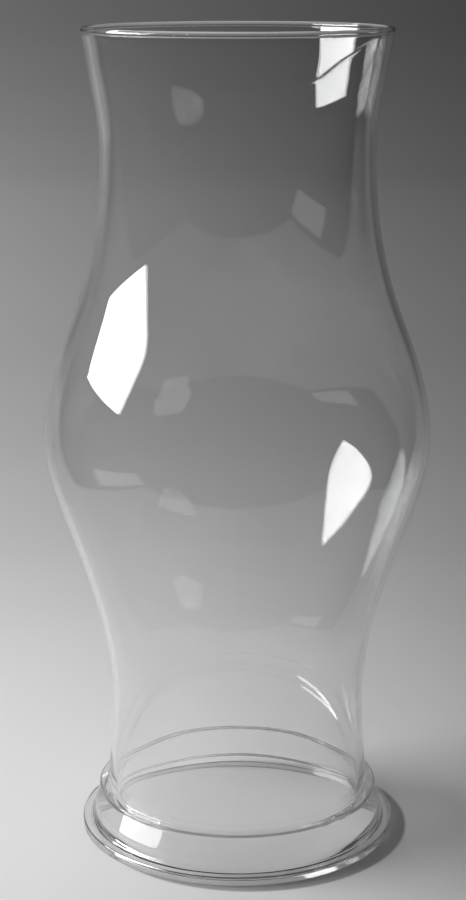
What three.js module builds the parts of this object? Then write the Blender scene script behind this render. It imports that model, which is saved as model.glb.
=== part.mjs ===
// Hurricane shade: a clear glass chimney, open at both ends, standing on a heavier glass foot.
// Millimetres, +Z up. The origin is the centre of the base, on the surface that the shade stands on.
// Both pieces are turned round the Z axis, so each one is drawn as half a section: radius, height.

import * as THREE from 'three';

// Heights of the stretches, from the base upwards
const footHeight = 14.1;
const neckLength = 29.3;
const lowerSwellLength = 85.6;
const upperSwellLength = 90;
const mouthLength = 35;

// Body radii, to the outside of the glass, and its wall
const bodyBaseRadius = 42;
const lowerWaistRadius = 40.35;
const bulgeRadius = 60.15;
const upperWaistRadius = 41.8;
const lipRadius = 46.8;
const wallThickness = 2;

// Lip: the thickened, fire-polished edge of the mouth
const lipDepth = 2;
const lipThickness = 2.3;
const lipProudness = 0.3;

// Foot section, outwards from the body
const ledgeWidth = 2.45;
const skirtSpread = 2.85;
const flangeProjection = 3.1;
const flangeHeight = 2.8;
const skirtWall = 3.8;

// Inside of the foot: the bore flares under the ledge, and is nearly straight below
const boreFlare = 2;
const boreFlareDepth = 3.9;
const boreEasing = 0.15;
const boreEasingHeight = 5.6;

// Roundings of the foot's edges
const ledgeRound = 0.5;
const skirtFillet = 0.8;
const flangeRound = 1;
const baseRound = 0.35;

// The place that shapes each stretch between two turning points of the body's outline: its share
// of the stretch's length and of its change of radius, and its slope as a share of the mean slope.
const lowerSwellShares = { length: 0.715, radius: 0.725, slope: 1.57 };
const upperSwellShares = { length: 0.407, radius: 0.488, slope: 1.97 };
const mouthFlareShares = { length: 0.556, radius: 0.47, slope: 1.25 };
const lipSlopeShare = 1.33;
const baseSlopeShare = 1.6;

// Slopes of the foot's bore: radius gained per unit of height
const boreTopSlope = -0.15;
const boreFlareSlope = -0.58;
const boreLowerSlope = -0.12;

// Fineness of the surfaces
const turnSegments = 64;
const curveSteps = 4;
const roundSteps = 3;

// Heights and radii that follow from the sizes above
const lowerWaistHeight = footHeight + neckLength;
const bulgeHeight = lowerWaistHeight + lowerSwellLength;
const upperWaistHeight = bulgeHeight + upperSwellLength;
const overallHeight = upperWaistHeight + mouthLength;
const lipBaseHeight = overallHeight - lipDepth;
const lipBaseRadius = lipRadius - lipProudness;
const ledgeRadius = bodyBaseRadius + ledgeWidth;
const skirtRootRadius = ledgeRadius + skirtSpread;
const flangeRadius = skirtRootRadius + flangeProjection;
const lipSlope = lipSlopeShare * (lipBaseRadius - upperWaistRadius) / (lipBaseHeight - upperWaistHeight);
const bodyBoreRadius = bodyBaseRadius - wallThickness;
const baseBoreRadius = skirtRootRadius - skirtWall;

// A place on the section, with the outline's slope there: radius gained per unit of height
function station(radius, height, slope) {
  return { radius, height, slope };
}

// Points of the curve that leaves one station and reaches the next with their slopes
function curveBetween(start, end, steps) {
  const third = (end.height - start.height) / 3;
  const curve = new THREE.CubicBezierCurve(
    new THREE.Vector2(start.radius, start.height),
    new THREE.Vector2(start.radius + start.slope * third, start.height + third),
    new THREE.Vector2(end.radius - end.slope * third, end.height - third),
    new THREE.Vector2(end.radius, end.height),
  );
  return curve.getPoints(steps);
}

// The shaping place between two stations
function placeBetween(start, end, shares) {
  const length = end.height - start.height;
  const gain = end.radius - start.radius;
  return station(
    start.radius + gain * shares.radius,
    start.height + length * shares.length,
    (gain / length) * shares.slope,
  );
}

function meanSlope(start, end) {
  return (end.radius - start.radius) / (end.height - start.height);
}

// Joins stretches that share an end point
function joinStretches(stretches) {
  return stretches.flatMap((points, index) => (index === 0 ? points : points.slice(1)));
}

// The outside of the body, from the ledge of the foot up to the lip
function bodyOutline() {
  const base = station(bodyBaseRadius, footHeight, 0);
  const lowerWaist = station(lowerWaistRadius, lowerWaistHeight, 0);
  const bulge = station(bulgeRadius, bulgeHeight, 0);
  const upperWaist = station(upperWaistRadius, upperWaistHeight, 0);
  const lipBase = station(lipBaseRadius, lipBaseHeight, 0);
  base.slope = meanSlope(base, lowerWaist) * baseSlopeShare;
  lipBase.slope = lipSlope;
  const stations = [
    base,
    lowerWaist,
    placeBetween(lowerWaist, bulge, lowerSwellShares),
    bulge,
    placeBetween(bulge, upperWaist, upperSwellShares),
    upperWaist,
    placeBetween(upperWaist, lipBase, mouthFlareShares),
    lipBase,
  ];
  const stretches = stations.slice(1).map((end, index) => curveBetween(stations[index], end, curveSteps));
  return joinStretches(stretches);
}

// The inside of the body: every point moved in by the wall, square to the outline.
// The first and last keep their height, where the foot and the lip carry on.
function wallInside(outline) {
  return outline.map((point, index) => {
    const before = outline[index - 1];
    const after = outline[index + 1];
    if (!before || !after) {
      return new THREE.Vector2(point.x - wallThickness, point.y);
    }
    const along = after.clone().sub(before).normalize();
    return new THREE.Vector2(point.x - along.y * wallThickness, point.y + along.x * wallThickness);
  });
}

// The lip's rounded edge, from the outside of the wall over the top to the inside
function lipOutline(outerEnd, innerEnd, slope) {
  const crestRound = lipThickness / 2;
  const crestHeight = overallHeight - crestRound;
  const outside = station(lipRadius, crestHeight, 0);
  const inside = station(lipRadius - lipThickness, crestHeight, 0);
  const crest = new THREE.EllipseCurve(
    lipRadius - crestRound, crestHeight, crestRound, crestRound, 0, Math.PI, false, 0,
  );
  return joinStretches([
    curveBetween(station(outerEnd.x, outerEnd.y, slope), outside, roundSteps),
    crest.getPoints(2 * roundSteps),
    curveBetween(inside, station(innerEnd.x, innerEnd.y, slope), roundSteps),
  ]);
}

function bodySection() {
  const outline = bodyOutline();
  const inside = wallInside(outline).reverse();
  const lip = lipOutline(outline[outline.length - 1], inside[0], lipSlope);
  return joinStretches([outline, lip, inside, [inside[inside.length - 1], outline[0].clone()]]);
}

// The foot's section, anticlockwise: along the base, up the outside, over the ledge, down the bore.
// The ledge stays clear of the body, which stands on the flat ring inside it.
function footSection() {
  const boreStations = [
    station(bodyBoreRadius, footHeight, boreTopSlope),
    station(bodyBoreRadius + boreFlare, footHeight - boreFlareDepth, boreFlareSlope),
    station(baseBoreRadius - boreEasing, boreEasingHeight, boreLowerSlope),
    station(baseBoreRadius, baseRound, 0),
  ];
  const skirtSlope = skirtSpread / (footHeight - flangeHeight);

  const path = new THREE.Path();
  path.moveTo(baseBoreRadius + baseRound, 0);
  path.lineTo(flangeRadius - baseRound, 0);
  path.quadraticCurveTo(flangeRadius, 0, flangeRadius, baseRound);
  path.lineTo(flangeRadius, flangeHeight - flangeRound);
  path.quadraticCurveTo(flangeRadius, flangeHeight, flangeRadius - flangeRound, flangeHeight);
  path.lineTo(skirtRootRadius + skirtFillet, flangeHeight);
  path.quadraticCurveTo(
    skirtRootRadius, flangeHeight,
    skirtRootRadius - skirtSlope * skirtFillet, flangeHeight + skirtFillet,
  );
  path.lineTo(ledgeRadius + skirtSlope * ledgeRound, footHeight - ledgeRound);
  path.quadraticCurveTo(ledgeRadius, footHeight, ledgeRadius - ledgeRound, footHeight);
  path.lineTo(bodyBaseRadius, footHeight);
  const outside = path.getPoints(roundSteps);
  const inside = joinStretches(
    boreStations.slice(1).map((end, index) => curveBetween(boreStations[index], end, roundSteps)),
  );
  return [...outside, ...inside, outside[0].clone()];
}

// Turns a closed half section round the Z axis
function turned(name, section, colour) {
  const geometry = new THREE.LatheGeometry(section, turnSegments);
  geometry.rotateX(Math.PI / 2);
  const glass = new THREE.MeshStandardMaterial({
    color: colour,
    roughness: 0.04,
    metalness: 0,
    transparent: true,
    opacity: 0.4,
  });
  const mesh = new THREE.Mesh(geometry, glass);
  mesh.name = name;
  return mesh;
}

const hurricaneShade = new THREE.Group();
hurricaneShade.name = 'hurricane_shade';
hurricaneShade.add(turned('foot_ring', footSection(), 0xdde3e4));
hurricaneShade.add(turned('shade_body', bodySection(), 0xe8eced));

export default hurricaneShade;
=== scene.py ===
# %% [markdown]
# A hurricane shade in clear glass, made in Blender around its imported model.
# The shade is a glass chimney, open at both ends, that keeps the draught off a candle or lamp flame.
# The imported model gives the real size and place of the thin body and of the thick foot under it.
# This lesson turns the finished glass, finishes its surface, and lights it as a glass photographer would.

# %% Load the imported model
import math

import bmesh
import bpy
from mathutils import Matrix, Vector


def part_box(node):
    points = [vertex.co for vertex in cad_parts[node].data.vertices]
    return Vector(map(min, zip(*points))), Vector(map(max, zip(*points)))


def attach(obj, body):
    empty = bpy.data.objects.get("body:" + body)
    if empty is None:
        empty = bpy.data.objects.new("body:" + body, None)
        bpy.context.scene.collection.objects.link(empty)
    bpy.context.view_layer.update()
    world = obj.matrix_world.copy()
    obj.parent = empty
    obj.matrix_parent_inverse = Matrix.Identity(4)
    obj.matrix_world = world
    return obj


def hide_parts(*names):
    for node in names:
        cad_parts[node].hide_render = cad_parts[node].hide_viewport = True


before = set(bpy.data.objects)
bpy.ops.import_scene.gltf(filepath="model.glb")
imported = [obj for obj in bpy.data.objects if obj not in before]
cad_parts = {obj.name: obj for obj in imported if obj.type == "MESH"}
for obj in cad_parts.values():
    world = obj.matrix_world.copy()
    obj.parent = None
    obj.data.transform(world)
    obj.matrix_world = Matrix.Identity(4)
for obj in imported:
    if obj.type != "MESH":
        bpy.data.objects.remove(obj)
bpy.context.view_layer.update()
body_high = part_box("shade_body")[1]
foot_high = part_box("foot_ring")[1]

# %% [markdown]
# The camera stands a little over half a metre away, just higher than the mouth, and looks down.
# It could be placed by eye, but here its place comes from the ellipses of mouth, ledge and base:
# how flat each one looks says how high above it the lens was. The lens is a short telephoto.

# %% Camera
MM = 0.001
camera_distance = 587.5 * MM
camera_height = 274.3 * MM
camera_side = -1.4 * MM
camera_tilt = math.radians(14.34)

# Blender takes these two in millimetres
lens_length = 77.4
sensor_width = 36.0

camera_data = bpy.data.cameras.new("camera")
camera_data.lens = lens_length
camera_data.sensor_width = sensor_width
camera_data.dof.use_dof = False
camera = bpy.data.objects.new("camera", camera_data)
camera.location = (camera_side, -camera_distance, camera_height)
camera.rotation_euler = (math.pi / 2 - camera_tilt, 0, 0)
bpy.context.scene.collection.objects.link(camera)
bpy.context.scene.camera = camera
print("Camera", round(camera_distance, 3), "m away,", round(camera_height, 3), "m up")

# %% [markdown]
# Blown glass gets its shape from a few places: base, waist, bulge, second waist and lip.
# Each place has a radius, a height and a slope, and a smooth curve joins it to the next.
# A Bezier spline holds exactly that, so the outline needs only these points and their handles,
# and the inside follows the outside at the thickness of the wall.

# %% Sizes of the body
foot_height = foot_high.z
bulge_radius = body_high.x
overall_height = body_high.z
neck_length = 29.3 * MM
lower_swell_length = 85.6 * MM
upper_swell_length = 90.0 * MM
body_base_radius = 42.0 * MM
lower_waist_radius = 40.35 * MM
upper_waist_radius = 41.8 * MM
lip_radius = 46.8 * MM
wall_thickness = 2.0 * MM
lip_depth = 2.0 * MM
lip_thickness = 2.3 * MM
lip_proudness = 0.3 * MM

lower_waist_height = foot_height + neck_length
bulge_height = lower_waist_height + lower_swell_length
upper_waist_height = bulge_height + upper_swell_length
lip_base_height = overall_height - lip_depth
print("Bulge at", round(bulge_height, 4), "m, upper waist at", round(upper_waist_height, 4), "m")

# %% Places on the body's outline: radius, height and slope
# Shares of a stretch's length, of its change of radius and of its mean slope
lower_swell_shares = (0.715, 0.725, 1.57)
upper_swell_shares = (0.407, 0.488, 1.97)
mouth_flare_shares = (0.556, 0.47, 1.25)
base_slope_share = 1.6
lip_slope_share = 1.33


def mean_slope(start, end):
    return (end[0] - start[0]) / (end[1] - start[1])


def shaping_place(start, end, shares):
    """The place between two others that gives the stretch between them its shape."""
    length_share, radius_share, slope_share = shares
    radius = start[0] + (end[0] - start[0]) * radius_share
    height = start[1] + (end[1] - start[1]) * length_share
    return (radius, height, mean_slope(start, end) * slope_share)


base = (body_base_radius, foot_height)
lower_waist = (lower_waist_radius, lower_waist_height)
bulge = (bulge_radius, bulge_height)
upper_waist = (upper_waist_radius, upper_waist_height)
lip_base = (lip_radius - lip_proudness, lip_base_height)
outline = [
    (*base, mean_slope(base, lower_waist) * base_slope_share),
    (*lower_waist, 0.0),
    shaping_place(lower_waist, bulge, lower_swell_shares),
    (*bulge, 0.0),
    shaping_place(bulge, upper_waist, upper_swell_shares),
    (*upper_waist, 0.0),
    shaping_place(upper_waist, lip_base, mouth_flare_shares),
    (*lip_base, mean_slope(upper_waist, lip_base) * lip_slope_share),
]
for radius, height, _ in outline:
    print("Outline place: radius", round(radius / MM, 2), "mm, height", round(height / MM, 1), "mm")

# %% [markdown]
# The section is drawn as one closed loop in the XZ plane: up the outside, over the lip, down the
# inside, round the foot and back. Drawing foot and body in one loop leaves no joint in the glass,
# because on the real shade the foot was fused on hot and light passes straight through.

# %% Helpers that lay Bezier points along the section
section = []

# Lengths of a handle: for a quarter of a circle, as a share of its radius, and for a rounded edge
quarter_share = 0.5523
edge_share = 0.55


def add_point(place, into, out_of):
    """One Bezier point: its place, and its handles as steps from it, all as (radius, height)."""
    section.append((Vector(place), Vector(into), Vector(out_of)))


def add_stretches(stations, first_handle=(0, 0), last_handle=(0, 0)):
    """Smooth stretches through (radius, height, slope), with handles a third of the way along."""
    last = len(stations) - 1
    for index, (radius, height, slope) in enumerate(stations):
        into, out_of = first_handle, last_handle
        if index > 0:
            back = (stations[index - 1][1] - height) / 3
            into = (slope * back, back)
        if index < last:
            ahead = (stations[index + 1][1] - height) / 3
            out_of = (slope * ahead, ahead)
        add_point((radius, height), into, out_of)


def add_corner(corner, before, after, round_size):
    """A rounded corner: the loop leaves its straight way before the corner and joins the next."""
    corner, before, after = Vector(corner), Vector(before), Vector(after)
    start = corner + (before - corner).normalized() * round_size
    end = corner + (after - corner).normalized() * round_size
    add_point(start, (0, 0), (corner - start) * edge_share)
    add_point(end, (corner - end) * edge_share, (0, 0))


def moved_in(station, distance):
    """The same place on the inside of the wall, square to the outline."""
    radius, height, slope = station
    length = math.hypot(1.0, slope)
    return (radius - distance / length, height + distance * slope / length, slope)


# %% Draw the body's outside and the lip
crest_round = lip_thickness / 2
crest_radius = lip_radius - crest_round
crest_height = overall_height - crest_round
arc_pull = quarter_share * crest_round
lip_pull = (crest_height - lip_base_height) / 3
lip_slope = outline[-1][2]
lip_handle = (lip_slope * lip_pull, lip_pull)

add_stretches(outline, last_handle=lip_handle)
add_point((lip_radius, crest_height), (0, -lip_pull), (0, arc_pull))
add_point((crest_radius, overall_height), (arc_pull, 0), (-arc_pull, 0))
add_point((lip_radius - lip_thickness, crest_height), (0, arc_pull), (0, -lip_pull))
print("Points up to the lip:", len(section))

# %% [markdown]
# The foot is a heavier ring of glass: a flat ledge, a sloping skirt and the flange that it stands on.
# Its edges are much crisper than the blown body's, so they are drawn as corners with small roundings
# instead of long curves. A Bevel modifier could round them too, with a weight set for each edge.

# %% Sizes of the foot
flange_radius = foot_high.x
flange_height = 2.8 * MM
flange_round = 0.5 * MM
ledge_width = 2.45 * MM
skirt_spread = 2.85 * MM
skirt_wall = 3.8 * MM
skirt_fillet = 0.8 * MM
seat_fillet = 0.5 * MM
base_round = 0.35 * MM
bead_round = 0.6 * MM
bead_proudness = 0.35 * MM
crease_depth = 1.32 * MM

ledge_radius = body_base_radius + ledge_width
skirt_root_radius = ledge_radius + skirt_spread
base_bore_radius = skirt_root_radius - skirt_wall
skirt_slope = skirt_spread / (foot_height - flange_height)
print("Flange", round(flange_radius / MM, 2), "mm, ledge", round(ledge_radius / MM, 2), "mm from the axis")

# %% Draw the inside, from the lip down to the base
# Under the ledge the bore widens as a straight cone, which mirrors the window as one clean patch
bore_turn_radius = 40.1 * MM
bore_turn_height = 13.1 * MM
bore_turn_slope = -0.42
bore_flare_radius = 41.75 * MM
bore_flare_height = 9.3 * MM
bore_flare_slope = -0.44
bore_easing = 0.15 * MM
bore_easing_height = 5.6 * MM
bore_easing_slope = -0.42

inside = [moved_in(station, wall_thickness) for station in outline[:0:-1]]
inside += [
    (body_base_radius - wall_thickness, foot_height, 0.0),
    (bore_turn_radius, bore_turn_height, bore_turn_slope),
    (bore_flare_radius, bore_flare_height, bore_flare_slope),
    (base_bore_radius - bore_easing, bore_easing_height, bore_easing_slope),
    (base_bore_radius, base_round, 0.0),
]
add_stretches(inside, first_handle=lip_handle)
add_point((base_bore_radius + base_round, 0), (-base_round / 2, 0), (0, 0))
print("Points down to the base:", len(section))

# %% Draw the foot's outside, from the base up to the body
base_middle = (0.0, 0.0)
flange_bottom = (flange_radius, 0.0)
flange_top = (flange_radius, flange_height)
skirt_bottom = (skirt_root_radius, flange_height)
skirt_top = (ledge_radius, foot_height)
add_corner(flange_bottom, base_middle, flange_top, base_round)
add_corner(flange_top, flange_bottom, skirt_bottom, flange_round)
add_corner(skirt_bottom, flange_top, skirt_top, skirt_fillet)

# A fine bead runs along the ledge's edge, with a crease where it leaves the skirt
crease = (ledge_radius + skirt_slope * crease_depth, foot_height - crease_depth)
bead_radius = ledge_radius + bead_proudness
bead_pull = bead_round * edge_share
add_point(crease, (skirt_slope * bead_round, -bead_round), (0, bead_round / 3))
add_point((bead_radius, foot_height - bead_round), (0, -bead_round / 2), (0, bead_pull))
add_point((bead_radius - bead_round, foot_height), (bead_pull, 0), (-bead_round / 2, 0))

# The fillet between ledge and body ends where the body's outline starts, so that point moves up
add_point((body_base_radius + seat_fillet, foot_height), (0, 0), (-seat_fillet / 2, 0))
body_start, _, up_the_body = section[0]
section[0] = (body_start + Vector((0, seat_fillet)), Vector((0, -seat_fillet / 2)), up_the_body)
print("Section points:", len(section))


# %% Make the section a curve
def section_curve(name, points, fineness, closed):
    """A Bezier curve in the XZ plane through points that each have a place and two handle steps."""
    curve = bpy.data.curves.new(name, "CURVE")
    curve.dimensions = "3D"
    curve.resolution_u = fineness
    spline = curve.splines.new("BEZIER")
    spline.bezier_points.add(len(points) - 1)
    for point, (place, into, out_of) in zip(spline.bezier_points, points):
        point.handle_left_type = point.handle_right_type = "FREE"
        point.co = (place[0], 0, place[1])
        point.handle_left = (place[0] + into[0], 0, place[1] + into[1])
        point.handle_right = (place[0] + out_of[0], 0, place[1] + out_of[1])
    spline.use_cyclic_u = closed
    curve_object = bpy.data.objects.new(name, curve)
    bpy.context.scene.collection.objects.link(curve_object)
    print(name, "has", len(points), "points, each stretch cut into", fineness)
    return curve_object


glass_fineness = 14
shade_section = section_curve("shade_section", section, glass_fineness, True)

# %% [markdown]
# Materials are built from nodes, and most of them come in a few small patterns: a sum, a soft step,
# a noise, a distance. Short helpers for these keep the trees readable. A sum or a mix takes other
# nodes' outputs or plain numbers, so that a recipe reads from the inside out, as a formula does.

# %% Helpers for nodes: links, sums, masks and mixes
def feed(tree, value, socket):
    """Links another node's output to a socket, or sets the socket to a plain number or colour."""
    if isinstance(value, bpy.types.NodeSocket):
        tree.links.new(value, socket)
    else:
        socket.default_value = value


def link(tree, output, node, name):
    tree.links.new(output, node.inputs[name])


def grey(value):
    return (value, value, value, 1.0)


def math_node(tree, operation, first, second=0.0):
    node = tree.nodes.new("ShaderNodeMath")
    node.operation = operation
    feed(tree, first, node.inputs[0])
    feed(tree, second, node.inputs[1])
    return node.outputs["Value"]


def all_of(tree, parts):
    """The product of masks: 1 only where each of them is 1."""
    product = parts[0]
    for part in parts[1:]:
        product = math_node(tree, "MULTIPLY", product, part)
    return product


def change(tree, value, start, end, low=0.0, high=1.0, kind="SMOOTHSTEP"):
    """Changes from low to high while the value goes from start to end, and stays level past them."""
    node = tree.nodes.new("ShaderNodeMapRange")
    node.interpolation_type = kind
    for name, number in (("From Min", start), ("From Max", end), ("To Min", low), ("To Max", high)):
        node.inputs[name].default_value = number
    link(tree, value, node, "Value")
    return node.outputs["Result"]


def mixed(tree, factor, first, second, blend="MIX"):
    """Two colours mixed, or multiplied, by the given factor."""
    node = tree.nodes.new("ShaderNodeMix")
    node.data_type = "RGBA"
    node.blend_type = blend
    for name, value in (("Factor", factor), ("A", first), ("B", second)):
        feed(tree, value, node.inputs[name])
    return node.outputs["Result"]


# %% Helpers for nodes: places and patterns
def stretched(tree, place, scale):
    node = tree.nodes.new("ShaderNodeMapping")
    node.inputs["Scale"].default_value = scale
    link(tree, place, node, "Vector")
    return node.outputs["Vector"]


def noise(tree, place, scale, detail):
    """Noise between 0 and 1. Places are in metres, so the scale is in patterns per metre."""
    node = tree.nodes.new("ShaderNodeTexNoise")
    node.inputs["Scale"].default_value = scale
    node.inputs["Detail"].default_value = detail
    link(tree, place, node, "Vector")
    return node.outputs["Fac"]


def split(tree, place):
    """The X, Y and Z of a place."""
    node = tree.nodes.new("ShaderNodeSeparateXYZ")
    link(tree, place, node, "Vector")
    return node.outputs["X"], node.outputs["Y"], node.outputs["Z"]


def distance_from(tree, place, centre):
    node = tree.nodes.new("ShaderNodeVectorMath")
    node.operation = "DISTANCE"
    node.inputs[1].default_value = centre
    link(tree, place, node, 0)
    return node.outputs["Value"]


def distance_from_axis(tree, place):
    node = tree.nodes.new("ShaderNodeVectorMath")
    node.operation = "LENGTH"
    link(tree, stretched(tree, place, (1.0, 1.0, 0.0)), node, 0)
    return node.outputs["Value"]


# %% [markdown]
# Clear glass has almost no colour of its own. What shows it is its surface: reflections that bend,
# and light from behind that shifts where the wall is uneven. Hand-blown glass has faint cords that
# run along the blowpipe's axis, rings left by turning, a few seeds, and handling marks.
# A photograph could be wrapped round it, but nodes stay sharp at any distance and need no file.

# %% Group: unevenness of blown glass
unevenness_weights = {"Cords": 1.0, "Rings": 1.0, "Seeds": 1.0, "Draw line": 5.0, "Hand mark": 8.0}
blown = bpy.data.node_groups.new("blown_unevenness", "ShaderNodeTree")
blown.interface.new_socket("Position", in_out="INPUT", socket_type="NodeSocketVector")
for weight_name, weight in unevenness_weights.items():
    weight_socket = blown.interface.new_socket(weight_name, in_out="INPUT", socket_type="NodeSocketFloat")
    weight_socket.default_value = weight
blown.interface.new_socket("Height", in_out="OUTPUT", socket_type="NodeSocketFloat")
blown_in = blown.nodes.new("NodeGroupInput")
blown_out = blown.nodes.new("NodeGroupOutput")
on_glass = blown_in.outputs["Position"]
print("Group", blown.name, "takes", ", ".join(unevenness_weights))

# %% Cords, rings and seeds
cord_scale = 150.0
cord_stretch = (1.0, 1.0, 0.06)
ring_scale = 90.0
ring_stretch = (0.15, 0.15, 1.0)
surface_detail = 1.0
seed_scale = 32.0
seed_share = 0.02

cords = noise(blown, stretched(blown, on_glass, cord_stretch), cord_scale, surface_detail)
rings = noise(blown, stretched(blown, on_glass, ring_stretch), ring_scale, surface_detail)
seed_cells = blown.nodes.new("ShaderNodeTexVoronoi")
seed_cells.inputs["Scale"].default_value = seed_scale
link(blown, on_glass, seed_cells, "Vector")
seeds = change(blown, seed_cells.outputs["Distance"], seed_share, 0.0)
print("A seed is at most", round(2 * seed_share / seed_scale / MM, 1), "mm across")

# %% A line drawn up the front of the glass
line_wander = 6.0 * MM
wander_scale = 40.0
wander_detail = 2.0
line_half_width = 0.9 * MM
line_bottom = lower_waist_height + 50.0 * MM
line_top = upper_waist_height + 18.0 * MM

glass_x, glass_y, glass_z = split(blown, on_glass)
wander = noise(blown, stretched(blown, on_glass, (0.0, 0.0, 1.0)), wander_scale, wander_detail)
line_x = math_node(blown, "MULTIPLY", math_node(blown, "SUBTRACT", wander, 0.5), line_wander)
off_line = math_node(blown, "ABSOLUTE", math_node(blown, "SUBTRACT", glass_x, line_x))
drawn = all_of(blown, [
    change(blown, off_line, line_half_width, 0.0),
    math_node(blown, "LESS_THAN", glass_y, 0.0),
    math_node(blown, "GREATER_THAN", glass_z, line_bottom),
    math_node(blown, "LESS_THAN", glass_z, line_top),
])
print("Line drawn from", round(line_bottom, 3), "to", round(line_top, 3), "m up")

# %% A mark that a tool left on the bulge, and the sum of all of it
mark_place = (2.0 * MM, -bulge_radius, bulge_height - 5.0 * MM)
mark_outer = 9.0 * MM
mark_inner = 4.0 * MM
mark_scale = 420.0

mark = math_node(
    blown, "MULTIPLY", noise(blown, on_glass, mark_scale, surface_detail),
    change(blown, distance_from(blown, on_glass, mark_place), mark_outer, mark_inner))
unevenness_parts = {"Cords": cords, "Rings": rings, "Seeds": seeds, "Draw line": drawn, "Hand mark": mark}
bump_height = 0.0
for part_name, part in unevenness_parts.items():
    weighed = math_node(blown, "MULTIPLY", part, blown_in.outputs[part_name])
    bump_height = math_node(blown, "ADD", bump_height, weighed)
link(blown, bump_height, blown_out, "Height")
print("Group", blown.name, "has", len(blown.nodes), "nodes")

# %% Glass material: surface and tint
unevenness_depth = 0.008 * MM
clear_tint = (0.985, 0.988, 0.986, 1.0)
deep_tint = (0.965, 0.970, 0.967, 1.0)
tint_scale = 14.0
tint_detail = 2.0

glass = bpy.data.materials.new("clear_glass")
glass.use_nodes = True
glass_tree = glass.node_tree
glass_tree.nodes.clear()
surface = glass_tree.nodes.new("ShaderNodeOutputMaterial")
shader = glass_tree.nodes.new("ShaderNodeBsdfPrincipled")
shader.inputs["Roughness"].default_value = 0.0
shader.inputs["IOR"].default_value = 1.5
shader.inputs["Transmission Weight"].default_value = 1.0
glass_place = glass_tree.nodes.new("ShaderNodeTexCoord").outputs["Object"]

unevenness = glass_tree.nodes.new("ShaderNodeGroup")
unevenness.node_tree = blown
link(glass_tree, glass_place, unevenness, "Position")
bump = glass_tree.nodes.new("ShaderNodeBump")
bump.inputs["Strength"].default_value = 1.0
bump.inputs["Distance"].default_value = unevenness_depth
link(glass_tree, unevenness.outputs["Height"], bump, "Height")
link(glass_tree, bump.outputs["Normal"], shader, "Normal")
tint = mixed(glass_tree, noise(glass_tree, glass_place, tint_scale, tint_detail), clear_tint, deep_tint)
print("Bumps are at most", round(unevenness_depth / MM, 3), "mm deep for a weight of 1")

# %% [markdown]
# A fine grey line runs along the ledge's edge on the real shade, darker than bent light alone draws it,
# so painted shade deepens it. It could be a thin ring of its own, but any second piece inside glass shows
# as a mirror. A narrow band of darker tint in the glass's own colour doesn't, because it only dims the
# light that passes there.

# %% Glass material: painted shade along the ledge's edge
# Painted shade: a narrow band of darker tint deepens the dark line along the ledge's edge
edge_shade_radius = ledge_radius + 0.05 * MM
edge_shade_height = foot_height - 0.45 * MM
edge_shade_outer = 0.6 * MM
edge_shade_inner = 0.2 * MM
edge_shade_tone = 0.18

from_middle, _, above_floor = split(glass_tree, glass_place)
from_axis = distance_from_axis(glass_tree, glass_place)
off_edge_shade = math_node(
    glass_tree, "MAXIMUM",
    math_node(glass_tree, "ABSOLUTE", math_node(glass_tree, "SUBTRACT", from_axis, edge_shade_radius)),
    math_node(glass_tree, "ABSOLUTE", math_node(glass_tree, "SUBTRACT", above_floor, edge_shade_height)))
edge_shaded = change(glass_tree, off_edge_shade, edge_shade_outer, edge_shade_inner)
link(glass_tree, mixed(glass_tree, edge_shaded, tint, grey(edge_shade_tone)), shader, "Base Color")
print("Grey line", round(edge_shade_height / MM, 2), "mm up")

# %% [markdown]
# Light reaches the floor through the glass, bent as real light is. Bent light alone makes a floor
# that is too dark and too spotted, because real glass is never as even as a mesh. So part of the
# lamp's light goes straight on: above the flange a fixed share, through the flange's left side all
# of it, and through its right side none, where the thick ring throws its own shade on the floor.

# %% Glass material: light that passes through
upper_straight_share = 0.6
side_reach = 30.0 * MM
passing_tone = 0.93

on_flange = math_node(glass_tree, "LESS_THAN", above_floor, flange_height + skirt_fillet)
above_flange = math_node(glass_tree, "SUBTRACT", 1.0, on_flange)
to_the_left = change(glass_tree, from_middle, 0.0, -side_reach)
straight_share = math_node(
    glass_tree, "ADD", math_node(glass_tree, "MULTIPLY", to_the_left, on_flange),
    math_node(glass_tree, "MULTIPLY", above_flange, upper_straight_share))
glass_rays = glass_tree.nodes.new("ShaderNodeLightPath")
lamp_light = math_node(
    glass_tree, "MAXIMUM", glass_rays.outputs["Is Shadow Ray"], glass_rays.outputs["Is Diffuse Ray"])
see_through = glass_tree.nodes.new("ShaderNodeBsdfTransparent")
see_through.inputs["Color"].default_value = grey(passing_tone)
light_mix = glass_tree.nodes.new("ShaderNodeMixShader")
link(glass_tree, math_node(glass_tree, "MULTIPLY", lamp_light, straight_share), light_mix, "Fac")
link(glass_tree, shader.outputs["BSDF"], light_mix, 1)
link(glass_tree, see_through.outputs["BSDF"], light_mix, 2)
link(glass_tree, light_mix.outputs["Shader"], surface, "Surface")
print("Material", glass.name, "has", len(glass_tree.nodes), "nodes")

# %% [markdown]
# A lathe turns a section round an axis, and so does this Geometry Nodes tree: it sweeps the section
# along a circle. The same tree can turn any section, so the floor and backdrop use it too.
# Spinning in edit mode would give the same mesh, but here the number of turns stays a value.

# %% Geometry Nodes tree: turned
turned = bpy.data.node_groups.new("turned", "GeometryNodeTree")
path_radius = 1.0
merge_distance = 0.001 * MM


def tree_input(name, kind):
    return turned.interface.new_socket(name, in_out="INPUT", socket_type=kind).identifier


tree_input("Geometry", "NodeSocketGeometry")
segments_id = tree_input("Segments", "NodeSocketInt")
material_id = tree_input("Material", "NodeSocketMaterial")
turned.interface.new_socket("Geometry", in_out="OUTPUT", socket_type="NodeSocketGeometry")
into_tree = turned.nodes.new("NodeGroupInput")
out_of_tree = turned.nodes.new("NodeGroupOutput")

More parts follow.
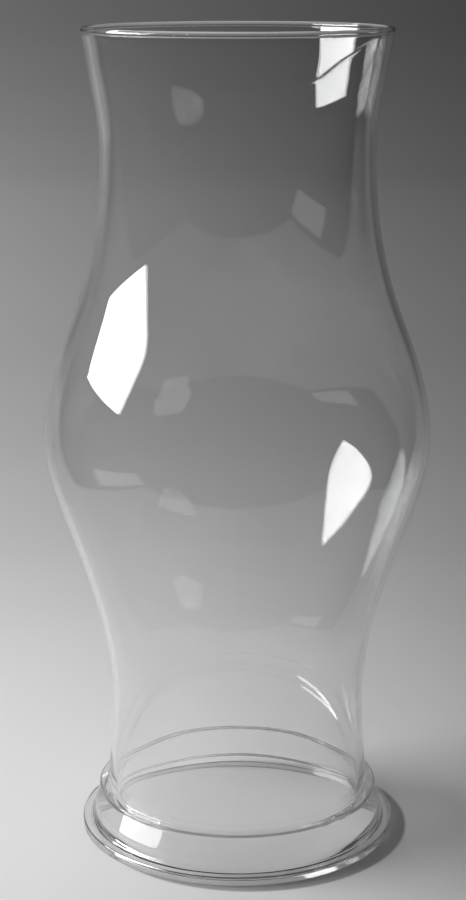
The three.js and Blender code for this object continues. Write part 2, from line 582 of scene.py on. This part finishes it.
lay_down = turned.nodes.new("GeometryNodeTransform")
lay_down.inputs["Rotation"].default_value = (math.pi / 2, 0, 0)
lay_down.inputs["Translation"].default_value = (-path_radius, 0, 0)
link(turned, into_tree.outputs["Geometry"], lay_down, "Geometry")
circle = turned.nodes.new("GeometryNodeCurvePrimitiveCircle")
circle.inputs["Radius"].default_value = path_radius
link(turned, into_tree.outputs["Segments"], circle, "Resolution")
sweep = turned.nodes.new("GeometryNodeCurveToMesh")
link(turned, circle.outputs["Curve"], sweep, "Curve")
link(turned, lay_down.outputs["Geometry"], sweep, "Profile Curve")
face_out = turned.nodes.new("GeometryNodeFlipFaces")
link(turned, sweep.outputs["Mesh"], face_out, "Mesh")
merge = turned.nodes.new("GeometryNodeMergeByDistance")
merge.inputs["Distance"].default_value = merge_distance
link(turned, face_out.outputs["Mesh"], merge, "Geometry")
smooth = turned.nodes.new("GeometryNodeSetShadeSmooth")
link(turned, merge.outputs["Geometry"], smooth, "Geometry")
realize = turned.nodes.new("GeometryNodeRealizeInstances")
link(turned, smooth.outputs["Geometry"], realize, "Geometry")
give_material = turned.nodes.new("GeometryNodeSetMaterial")
link(turned, realize.outputs["Geometry"], give_material, "Geometry")
link(turned, into_tree.outputs["Material"], give_material, "Material")
link(turned, give_material.outputs["Geometry"], out_of_tree, "Geometry")
print("Tree", turned.name, "has", len(turned.nodes), "nodes")


# %% Turn the glass
def turn(section_object, name, segments, material):
    """Runs the tree on a section and keeps the result as a plain mesh object at the origin."""
    modifier = section_object.modifiers.new("turned", "NODES")
    modifier.node_group = turned
    modifier[segments_id] = segments
    modifier[material_id] = material
    evaluated = section_object.evaluated_get(bpy.context.evaluated_depsgraph_get())
    mesh = bpy.data.meshes.new_from_object(evaluated)
    mesh.name = name
    made = bpy.data.objects.new(name, mesh)
    bpy.context.scene.collection.objects.link(made)
    bpy.data.objects.remove(section_object)
    print(name, "has", len(mesh.polygons), "faces")
    return made


glass_segments = 192
millilitre = 1e-6
shade = turn(shade_section, "glass_shade", glass_segments, glass)
shape = bmesh.new()
shape.from_mesh(shade.data)
open_edges = sum(not edge.is_manifold for edge in shape.edges)
glass_volume = shape.calc_volume(signed=True) / millilitre
shape.free()
print("Glass volume", round(glass_volume, 1), "ml, open edges", open_edges)
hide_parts("shade_body", "foot_ring")
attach(shade, "root")

# %% [markdown]
# The floor runs into a round backdrop, so that every side has the same plain ground behind it.
# Glass shows what is behind it, and a gradient from pale to dark gives its edges something to bend.
# The gradient is painted light and shade: the fall-off of light over floor and backdrop is painted into
# the floor's colour, so the lamp can stay plain.

# %% Section of floor and backdrop
floor_radius = 2.0
floor_gap = 0.05 * MM
cove_radius = 2.2
wall_height = 4.2
floor_fineness = 24

cove_pull = quarter_share * cove_radius
wall_radius = floor_radius + cove_radius
floor_section = section_curve("floor_section", [
    ((0, -floor_gap), (0, 0), (0, 0)),
    ((floor_radius, -floor_gap), (0, 0), (cove_pull, 0)),
    ((wall_radius, cove_radius), (0, -cove_pull), (0, 0)),
    ((wall_radius, wall_height), (0, 0), (0, 0)),
], floor_fineness, False)

# %% Ground material
ground = bpy.data.materials.new("painted_ground")
ground.use_nodes = True
ground_tree = ground.node_tree
ground_shader = ground_tree.nodes["Principled BSDF"]
ground_shader.inputs["Roughness"].default_value = 0.9
ground_shader.inputs["Specular IOR Level"].default_value = 0.0
ground_place = ground_tree.nodes.new("ShaderNodeTexCoord").outputs["Object"]
across, along, up_the_wall = split(ground_tree, ground_place)
print("Material", ground.name, "is matt")

# %% Painted fall-off of light: paler near the shade, darker along the floor and up the backdrop
# Each stop has a way out over the floor and up the wall, in metres, and the tone painted there
# These tones are painted light and shade, standing for the light that falls off out over the floor and up
# the cove
tone_stops = (
    (0.09, 0.50), (0.20, 0.435), (0.30, 0.358), (0.47, 0.287), (0.72, 0.238), (1.11, 0.215),
    (1.80, 0.195), (2.27, 0.170), (2.58, 0.146), (2.84, 0.127), (3.10, 0.112),
    (4.20, 0.120), (5.20, 0.350), (7.00, 0.500))

ground_reach = distance_from_axis(ground_tree, ground_place)
way_out = math_node(ground_tree, "ADD", ground_reach, up_the_wall)
tone = ground_tree.nodes.new("ShaderNodeValToRGB")
tone.color_ramp.interpolation = "CARDINAL"
while len(tone.color_ramp.elements) < len(tone_stops):
    tone.color_ramp.elements.new(0.5)
for stop, (reached, value) in zip(tone.color_ramp.elements, tone_stops):
    stop.position = reached / (reached + 1.0)
    stop.color = grey(value)
way_share = math_node(ground_tree, "DIVIDE", way_out, math_node(ground_tree, "ADD", way_out, 1.0))
link(ground_tree, way_share, tone, "Fac")
print("Tones fall from", tone_stops[0][1], "beside the shade to", min(value for _, value in tone_stops))

# %% Painted fall-off of the window's light: a fan from pale at the left to dark at the right, which spreads from in front of the shade
fan_back = 0.6
fan_front = -0.3
fan_half_width = 0.35
fan_left_tone = 1.45
fan_right_tone = 0.59
drift_reach = 1.0
drift_left_tone = 1.4
drift_right_tone = 0.6

# The fan and the drift are painted light and shade: paler towards the window at the left, darker away from
# it
fan_depth = math_node(ground_tree, "ADD", math_node(ground_tree, "MAXIMUM", along, fan_front), fan_back)
fan_place = math_node(ground_tree, "DIVIDE", across, fan_depth)
fan = change(ground_tree, fan_place, -fan_half_width, fan_half_width, fan_left_tone, fan_right_tone)
drift = change(
    ground_tree, across, -drift_reach, drift_reach, drift_left_tone, drift_right_tone, "LINEAR")
full_tone = math_node(ground_tree, "MULTIPLY", fan, drift)

# Past both sides of the picture the fan fades back, so the glass's edges stay calm
fan_kept_inside = 0.13
fan_faded_outside = 0.30
fan_left_over_share = 0.2
fan_kept = change(
    ground_tree, math_node(ground_tree, "ABSOLUTE", fan_place), fan_kept_inside, fan_faded_outside,
    1.0, fan_left_over_share)
fan_change = math_node(ground_tree, "SUBTRACT", full_tone, 1.0)
side_tone = math_node(ground_tree, "ADD", 1.0, math_node(ground_tree, "MULTIPLY", fan_change, fan_kept))
painted = mixed(ground_tree, 1.0, tone.outputs["Color"], side_tone, "MULTIPLY")
print("Fan from", fan_left_tone, "times the tone at the left to", fan_right_tone, "at the right")

# %% [markdown]
# The painted sheet ends in front and at both sides, and spreads towards the backdrop. Past its edges
# the floor is painted nearly black, as painted shade for an unlit room, apart from a pale patch at the
# left. All of these lie outside the picture, but curved glass shows a wide part of the room, so they come
# back in it as arcs and small pale shapes.

# %% Painted sheet, dark room and pale patch
edge_softness = 4.0 * MM
sheet_front = -0.24
sheet_half_width = 0.30
spread_start = 0.10
spread_rate = 0.95
patch_left = -0.55
patch_right = -0.335
patch_front = -0.145
patch_front_slope = 0.35
patch_back = -0.085
patch_back_slope = -0.15
# The dark room is painted shade: past the sheet the floor is nearly black, as an unlit room is
dark_room_tone = 0.02
pale_patch_tone = 0.72


def beyond(value, edge):
    """1 where the value is above the edge and 0 below it, with a soft step of a few millimetres."""
    above = math_node(ground_tree, "SUBTRACT", value, edge)
    return change(ground_tree, above, -edge_softness, edge_softness)


def leaning(slope, middle):
    """The Y of an edge that runs from left to right and leans by the given slope."""
    return math_node(ground_tree, "ADD", math_node(ground_tree, "MULTIPLY", across, slope), middle)


past_start = math_node(
    ground_tree, "MAXIMUM", math_node(ground_tree, "SUBTRACT", along, spread_start), 0.0)
spread = math_node(ground_tree, "MULTIPLY", past_start, spread_rate)
sheet = all_of(ground_tree, [
    beyond(along, sheet_front),
    beyond(
        math_node(ground_tree, "ADD", spread, sheet_half_width),
        math_node(ground_tree, "ABSOLUTE", across)),
])
patch = all_of(ground_tree, [
    beyond(across, patch_left),
    beyond(patch_right, across),
    beyond(along, leaning(patch_front_slope, patch_front)),
    beyond(leaning(patch_back_slope, patch_back), along),
])
room_tone = math_node(
    ground_tree, "ADD", math_node(ground_tree, "MULTIPLY", patch, pale_patch_tone - dark_room_tone),
    dark_room_tone)
whole_ground = mixed(ground_tree, sheet, room_tone, painted)
print("Sheet", 2 * sheet_half_width, "m wide beside the shade")

# %% [markdown]
# Beside the foot the floor lies in the flange's own deep shade, a narrow crescent on the side away from
# the window. So wide a lamp throws no shadow with an edge that sharp, and a second, small lamp would
# show in the glass. So the crescent is painted into the floor's colour, as the other tones are.

# %% Deep shade beside the foot
crescent_middle = (3.9 * MM, -2.6 * MM, -floor_gap)
crescent_radius = 51.0 * MM
crescent_softness = 0.7 * MM
crescent_inset = 2.0 * MM
crescent_tone = 0.45

from_crescent = distance_from(ground_tree, ground_place, crescent_middle)
crescent = math_node(
    ground_tree, "MULTIPLY",
    change(
        ground_tree, from_crescent, crescent_radius + crescent_softness,
        crescent_radius - crescent_softness),
    change(ground_tree, ground_reach, flange_radius - crescent_inset, flange_radius))
shaded = mixed(ground_tree, crescent, whole_ground, grey(crescent_tone), "MULTIPLY")
link(ground_tree, shaded, ground_shader, "Base Color")
print("Material", ground.name, "has", len(ground_tree.nodes), "nodes")

# %% Turn the floor and backdrop
floor_segments = 96
floor = turn(floor_section, "floor", floor_segments, ground)

# %% [markdown]
# Glass is lit by what it reflects. One wide soft window at the left makes the bright four-sided
# shapes: those on the left half are mirrored in the outside of the glass, and those on the right half
# in its inside. The window's shape is cut out of one flat lamp by a mask in the lamp's own nodes,
# because two lamps side by side would double every shape.

# %% Window lamp
window_distance = 3.4
window_shift = 0.12
window_width = 3.9
window_height = 1.9
window_radiance = 20.0
sill_height = 0.70
half_sill = 1.0
side_spread = 0.5

window_light = bpy.data.lights.new("left_window", "AREA")
window_light.shape = "RECTANGLE"
window_light.size = window_width
window_light.size_y = window_height
window_light.energy = window_radiance * math.pi * window_width * window_height
window = bpy.data.objects.new("left_window", window_light)
window.location = (-window_distance, window_shift, sill_height + window_height / 2)
facing = Vector((window_distance, 0, 0))
window.rotation_euler = facing.to_track_quat("-Z", "Y").to_euler()
bpy.context.scene.collection.objects.link(window)
print("Lamp", window.name, "size", window_width, "by", window_height, "m")

# %% Window shape: its sides spread as they rise from the sill
window_light.use_nodes = True
window_tree = window_light.node_tree
on_window = window_tree.nodes.new("ShaderNodeNewGeometry").outputs["Parametric"]
share_across, share_up, _ = split(window_tree, on_window)
share_off_middle = math_node(window_tree, "SUBTRACT", share_across, 0.5)
off_middle = math_node(
    window_tree, "ABSOLUTE", math_node(window_tree, "MULTIPLY", share_off_middle, window_width))
above_sill = math_node(window_tree, "MULTIPLY", share_up, window_height)
half_width = math_node(
    window_tree, "ADD", math_node(window_tree, "MULTIPLY", above_sill, side_spread), half_sill)
lit = math_node(window_tree, "LESS_THAN", off_middle, half_width)

# Only its reflections and its light show: looked at straight, also through the glass, it is dark
window_rays = window_tree.nodes.new("ShaderNodeLightPath")
bounces = math_node(
    window_tree, "ADD", window_rays.outputs["Glossy Depth"], window_rays.outputs["Diffuse Depth"])
looked_through = math_node(
    window_tree, "MULTIPLY", window_rays.outputs["Is Transmission Ray"],
    math_node(window_tree, "LESS_THAN", bounces, 0.5))
looked_at = math_node(window_tree, "MAXIMUM", window_rays.outputs["Is Camera Ray"], looked_through)
hidden = math_node(window_tree, "SUBTRACT", 1.0, looked_at)
strength = math_node(window_tree, "MULTIPLY", lit, hidden)
link(window_tree, strength, window_tree.nodes["Emission"], "Strength")
print("Window shape has", len(window_tree.nodes), "nodes")

# %% [markdown]
# The rest of the room fills in plain soft light from all round. Rays that come straight from the
# camera or by way of clear glass find a dark room there instead, as in a photographer's blacked-out
# studio, so the glass doesn't turn milky.

# %% World
fill_tone = 0.22
dark_tone = 0.03

world = bpy.data.worlds.new("studio")
bpy.context.scene.world = world
world.use_nodes = True
world_tree = world.node_tree
world_rays = world_tree.nodes.new("ShaderNodeLightPath")
clear_ray = math_node(
    world_tree, "MAXIMUM", world_rays.outputs["Is Camera Ray"],
    math_node(
        world_tree, "MAXIMUM", world_rays.outputs["Is Glossy Ray"],
        world_rays.outputs["Is Transmission Ray"]))
undimmed = math_node(world_tree, "LESS_THAN", world_rays.outputs["Diffuse Depth"], 0.5)
shown = math_node(world_tree, "MULTIPLY", clear_ray, undimmed)
room_light = mixed(world_tree, shown, grey(fill_tone), grey(dark_tone))
link(world_tree, room_light, world_tree.nodes["Background"], "Color")
print("World fills at", fill_tone, "and looks", dark_tone, "to clear rays")

# %% [markdown]
# Light passes four or more surfaces of glass on its way, so it needs more bounces than other scenes.
# Caustics are the light that glass bends together: they draw the fine bright lines on the floor.

# %% Render settings
glass_bounces = 24
mirror_bounces = 12

scene = bpy.context.scene
scene.view_settings.view_transform = "Standard"
scene.cycles.caustics_refractive = True
scene.cycles.caustics_reflective = True
scene.cycles.max_bounces = glass_bounces
scene.cycles.transmission_bounces = glass_bounces
scene.cycles.transparent_max_bounces = glass_bounces
scene.cycles.glossy_bounces = mirror_bounces
print("Up to", glass_bounces, "bounces")
